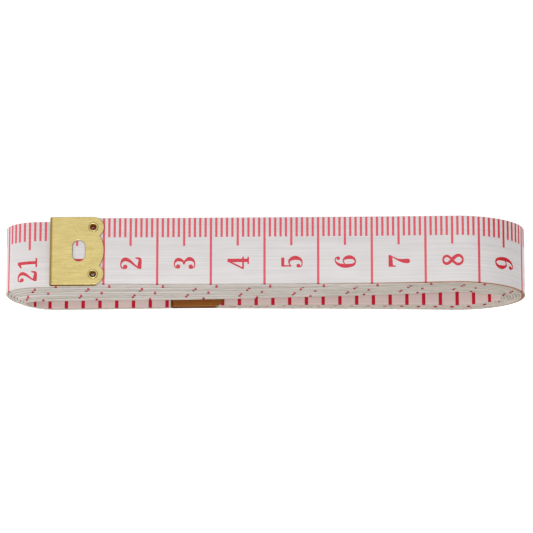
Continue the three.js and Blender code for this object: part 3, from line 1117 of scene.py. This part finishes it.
def leaf_outline():
    """Far end of a leaf, from its near side to its far side, measured from the fold."""
    cusp_x = FERRULE_LENGTH - CUSP_DEPTH
    turn = math.acos((cusp_x - EYELET_FROM_FOLD) / LOBE_RADIUS)
    cusp_y = EYELET_SPREAD - LOBE_RADIUS * math.sin(turn)
    bulge = (cusp_y ** 2 + CENTRE_BULGE ** 2) / (2 * CENTRE_BULGE)
    bulge_turn = math.asin(cusp_y / bulge)
    middle = cusp_x + CENTRE_BULGE - bulge
    lobe = arc(EYELET_FROM_FOLD, -EYELET_SPREAD, LOBE_RADIUS, -math.pi / 2, turn, LOBE_STEPS)
    centre = arc(middle, 0, bulge, -bulge_turn, bulge_turn, BULGE_STEPS)
    mirrored = [(x, -y) for x, y in reversed(lobe)]
    return lobe + centre[1:-1] + mirrored


def blank_loops():
    """Outline and holes of the blank, with its length counted from the middle of the fold."""
    edge = leaf_outline()
    shift = FOLD_ARC / 2 - FOLD_OUTER
    front = [(x + shift, y) for x, y in edge]
    back = [(-x - shift, y) for x, y in reversed(edge)]
    far = [(u, FERRULE_HALF) for u in FOLD_LINES]
    near = [(u, -FERRULE_HALF) for u in reversed(FOLD_LINES)]
    loops = [front + far + back + near]
    for sign in (1, -1):
        for y in (-EYELET_SPREAD, EYELET_SPREAD):
            loops.append(arc(sign * (EYELET_FROM_FOLD + shift), y, HOLE_RADIUS,
                             2 * math.pi, 0, LEAF_HOLE_STEPS)[:-1])
    half = SLOT_WIDTH / 2
    reach = SLOT_LENGTH / 2 - half
    u = SLOT_FROM_FOLD + shift
    loops.append(arc(u, reach, half, math.pi, 0, SLOT_STEPS)
                 + arc(u, -reach, half, 0, -math.pi, SLOT_STEPS))
    return loops


def inset(loop, distance):
    """The loop moved to its left by a distance, into the sheet."""
    out = []
    for i, point in enumerate(loop):
        before = Vector(point) - Vector(loop[i - 1])
        after = Vector(loop[(i + 1) % len(loop)]) - Vector(point)
        normals = [Vector((-run.y, run.x)).normalized() for run in (before, after)]
        step = (normals[0] + normals[1]) * distance / (1 + normals[0].dot(normals[1]))
        out.append((point[0] + step.x, point[1] + step.y))
    return out


def folded(u, y, lift):
    """A point of the blank on the folded ferrule: fold at x = 0, front leaf up."""
    reach = FOLD_MIDDLE + lift
    if abs(u) >= FOLD_ARC / 2:
        side = 1 if u > 0 else -1
        return Vector((FOLD_OUTER + abs(u) - FOLD_ARC / 2, y, side * reach))
    angle = u / FOLD_MIDDLE
    return Vector((FOLD_OUTER - reach * math.cos(angle), y, reach * math.sin(angle)))


def ferrule_mesh(name, finish):
    loops = blank_loops()
    soft = RIM * (1 - math.sqrt(0.5))
    points, edges, drops = [], [], []
    for loop in loops:
        for distance, drop in ((0, RIM), (soft, soft), (RIM, 0)):
            ring = inset(loop, distance) if distance else loop
            edges += ring_edges(len(points), len(ring))
            points += [Vector(p) for p in ring]
            drops += [drop] * len(ring)
    for u in FOLD_LINES:
        edges.append((len(points), len(points) + 1))
        points += [Vector((u, -FERRULE_HALF + RIM)), Vector((u, FERRULE_HALF - RIM))]
        drops += [0, 0]
    out = delaunay_2d_cdt(points, edges, [], INSIDE_ONLY, SHEET_TOLERANCE)
    plan, triangles, sources = out[0], out[2], out[3]
    kept = []
    for face in triangles:
        middle = middle_of(plan, face)
        if inside(middle, loops[0]) and not any(inside(middle, hole) for hole in loops[1:]):
            kept.append(list(face) if faces_up(plan, face) else list(face)[::-1])
    builder = Builder()
    sheets = []
    for sign in (1, -1):
        sheet = []
        for at, source in zip(plan, sources):
            drop = max((drops[i] for i in source), default=0)
            lift = sign * (LEAF_THICKNESS / 2 - drop)
            sheet.append(builder.point(folded(at.x, at.y, lift), (at.x, at.y, lift)))
        sheets.append(sheet)
    add_slab(builder, *sheets, kept, SHEET, SHEARED)
    return builder.mesh(name, (finish, RIM_BRASS), SHEET_SHARP)


# Eyelet: a tube rolled over each leaf, with a throat between its mouth and its bore
THROAT_IN = 0.55
THROAT_DOWN = 0.6


def eyelet_mesh(name, finish):
    flange, mouth = EYELET_FLANGE / 2, EYELET_MOUTH / 2
    seat = FOLD_OUTER + EYELET_CLEARANCE
    face = seat + FLANGE_THICKNESS
    crest, spread = (flange + mouth) / 2, (flange - mouth) / 2
    roll = [(crest + spread * x, seat + FLANGE_THICKNESS * z)
            for x, z in arc(0, 0, 1, 0, math.pi, ROLL_STEPS)]
    bore = EYELET_BORE / 2
    throat = [(between(mouth, bore, THROAT_IN), face - FUNNEL_DEPTH * THROAT_DOWN),
              (bore, face - FUNNEL_DEPTH)]
    half = [(BARREL_RADIUS, 0), (BARREL_RADIUS, seat)] + roll + throat
    under = [(r, -z) for r, z in reversed(half[1:])]
    ring = half + under
    builder = Builder()
    columns = []
    for i in range(EYELET_STEPS):
        angle = 2 * math.pi * i / EYELET_STEPS
        column = []
        for r, z in ring:
            at = Vector((r * math.cos(angle), r * math.sin(angle), z))
            column.append(builder.point(at, tuple(at)))
        columns.append(column)
    for a, b in zip(columns, columns[1:] + columns[:1]):
        for j, k in ring_edges(0, len(ring)):
            builder.face((a[j], b[j], b[k], a[k]), 0)
    return builder.mesh(name, (finish,), SHARP)


def set_piece(name, mesh, at, node, body):
    mesh.transform(Matrix.Scale(MM, 4) @ at)
    piece = link(name, mesh)
    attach(piece, body)
    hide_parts(node)


half_thick = TAPE_THICKNESS / 2
start_at = Matrix.Translation((
    START_X + math.sin(TOP_TILT) * half_thick, 0,
    START_Z - math.cos(TOP_TILT) * half_thick)) @ Matrix.Rotation(-TOP_TILT, 4, "Y")
last_layer = TURNS - 1
end_at = Matrix.Translation((
    END_X, fan_offset(last_layer, END_X) - end_sway(END_X),
    low_height(last_layer) + half_thick)) @ Matrix.Rotation(
        math.atan(last_layer * FAN_SLOPE - LOWER_RUN_SWAY / COIL_LENGTH), 4, "Z")
tips = (("start", start_at, "lead_3", BRASS, EYELET_BRASS),
        ("end", end_at, "coil", SHADED_BRASS, SHADED_EYELET))
for prefix, at, body, sheet_finish, ring_finish in tips:
    name = f"{prefix}_ferrule_sheet"
    set_piece(name, ferrule_mesh(name, sheet_finish), at, f"{prefix}_ferrule", body)
    for side, spot in ((-1, "near"), (1, "far")):
        seat = at @ Matrix.Translation((EYELET_FROM_FOLD, side * EYELET_SPREAD, 0))
        name = f"{prefix}_eyelet_ring_{spot}"
        set_piece(name, eyelet_mesh(name, ring_finish), seat, f"{prefix}_eyelet_{spot}", body)


# Floor, a little below the coil, and its own faint glow
FLOOR_REACH = 3.0
FLOOR_LEVEL = -0.05 * MM
FLOOR_GLOW = 0.45


def floor_material():
    material, n, shader = new_material("pale_floor")
    spot = n.node("ShaderNodeTexCoord").outputs["Object"]
    tone = n.ramp(n.noise(spot, scale=40.0), (0.3, (0.9, 0.9, 0.9)), (0.7, (0.93, 0.93, 0.93)))
    n.fill(shader, {"Base Color": tone,
                    "Roughness": 0.9,
                    "Emission Color": (*WHITE, 1),
                    "Emission Strength": FLOOR_GLOW})
    return material


floor_mesh = bpy.data.meshes.new("floor")
floor_corners = [(x * FLOOR_REACH, y * FLOOR_REACH, FLOOR_LEVEL)
                 for x, y in ((-1, -1), (1, -1), (1, 1), (-1, 1))]
floor_mesh.from_pydata(floor_corners, [], [(0, 1, 2, 3)])
floor_mesh.materials.append(floor_material())
link("floor", floor_mesh)

# A white studio, brightest overhead and a little to the left
SKY_TOP = 0.86
SKY_RIM = 0.24
SKY_AXIS = (-0.36, 0, 0.933)
world = bpy.data.worlds.new("studio")
world.use_nodes = True
sky = Nodes(world.node_tree)
direction = sky.node("ShaderNodeTexCoord").outputs["Generated"]
height = sky.node("ShaderNodeVectorMath", {0: direction, 1: SKY_AXIS}, operation="DOT_PRODUCT")
strength = sky.span(height.outputs["Value"], SKY_RIM, SKY_TOP)
sky.fill(world.node_tree.nodes["Background"], {"Color": (*WHITE, 1), "Strength": strength})
bpy.context.scene.world = world
bpy.context.scene.view_settings.view_transform = "Standard"


def area_light(name, at, size, watts):
    """A round lamp that looks at the origin."""
    lamp = bpy.data.lights.new(name, "AREA")
    lamp.shape = "DISK"
    lamp.size = size
    lamp.energy = watts
    holder = bpy.data.objects.new(name, lamp)
    holder.location = at
    holder.rotation_euler = (Vector() - Vector(at)).to_track_quat("-Z", "Y").to_euler()
    bpy.context.scene.collection.objects.link(holder)


# Camera, aimed a little to the right of the origin and up the picture from it
VIEW_ELEVATION = math.radians(72)
VIEW_DISTANCE = 0.87
AIM_RIGHT = 0.175
AIM_UP = 1.52
SENSOR_WIDTH = 36
LENS = 312
CLIP_START = 0.01
TARGET = Vector((AIM_RIGHT, 0, AIM_UP / math.cos(VIEW_ELEVATION))) * MM
camera_data = bpy.data.cameras.new("camera")
camera_data.sensor_width = SENSOR_WIDTH
camera_data.lens = LENS
camera_data.clip_start = CLIP_START
camera = bpy.data.objects.new("camera", camera_data)
back_off = Vector((0, -math.cos(VIEW_ELEVATION), math.sin(VIEW_ELEVATION)))
camera.location = TARGET + back_off * VIEW_DISTANCE
camera.rotation_euler = (math.pi / 2 - VIEW_ELEVATION, 0, 0)
bpy.context.scene.collection.objects.link(camera)
bpy.context.scene.camera = camera

# A soft key from the near left, and a lamp behind the camera
OVERHEAD_DISTANCE = 1.2
area_light("key", at=(-0.25, -0.38, 0.28), size=0.3, watts=0.61)
area_light("overhead", at=back_off * OVERHEAD_DISTANCE, size=0.2, watts=4.0)
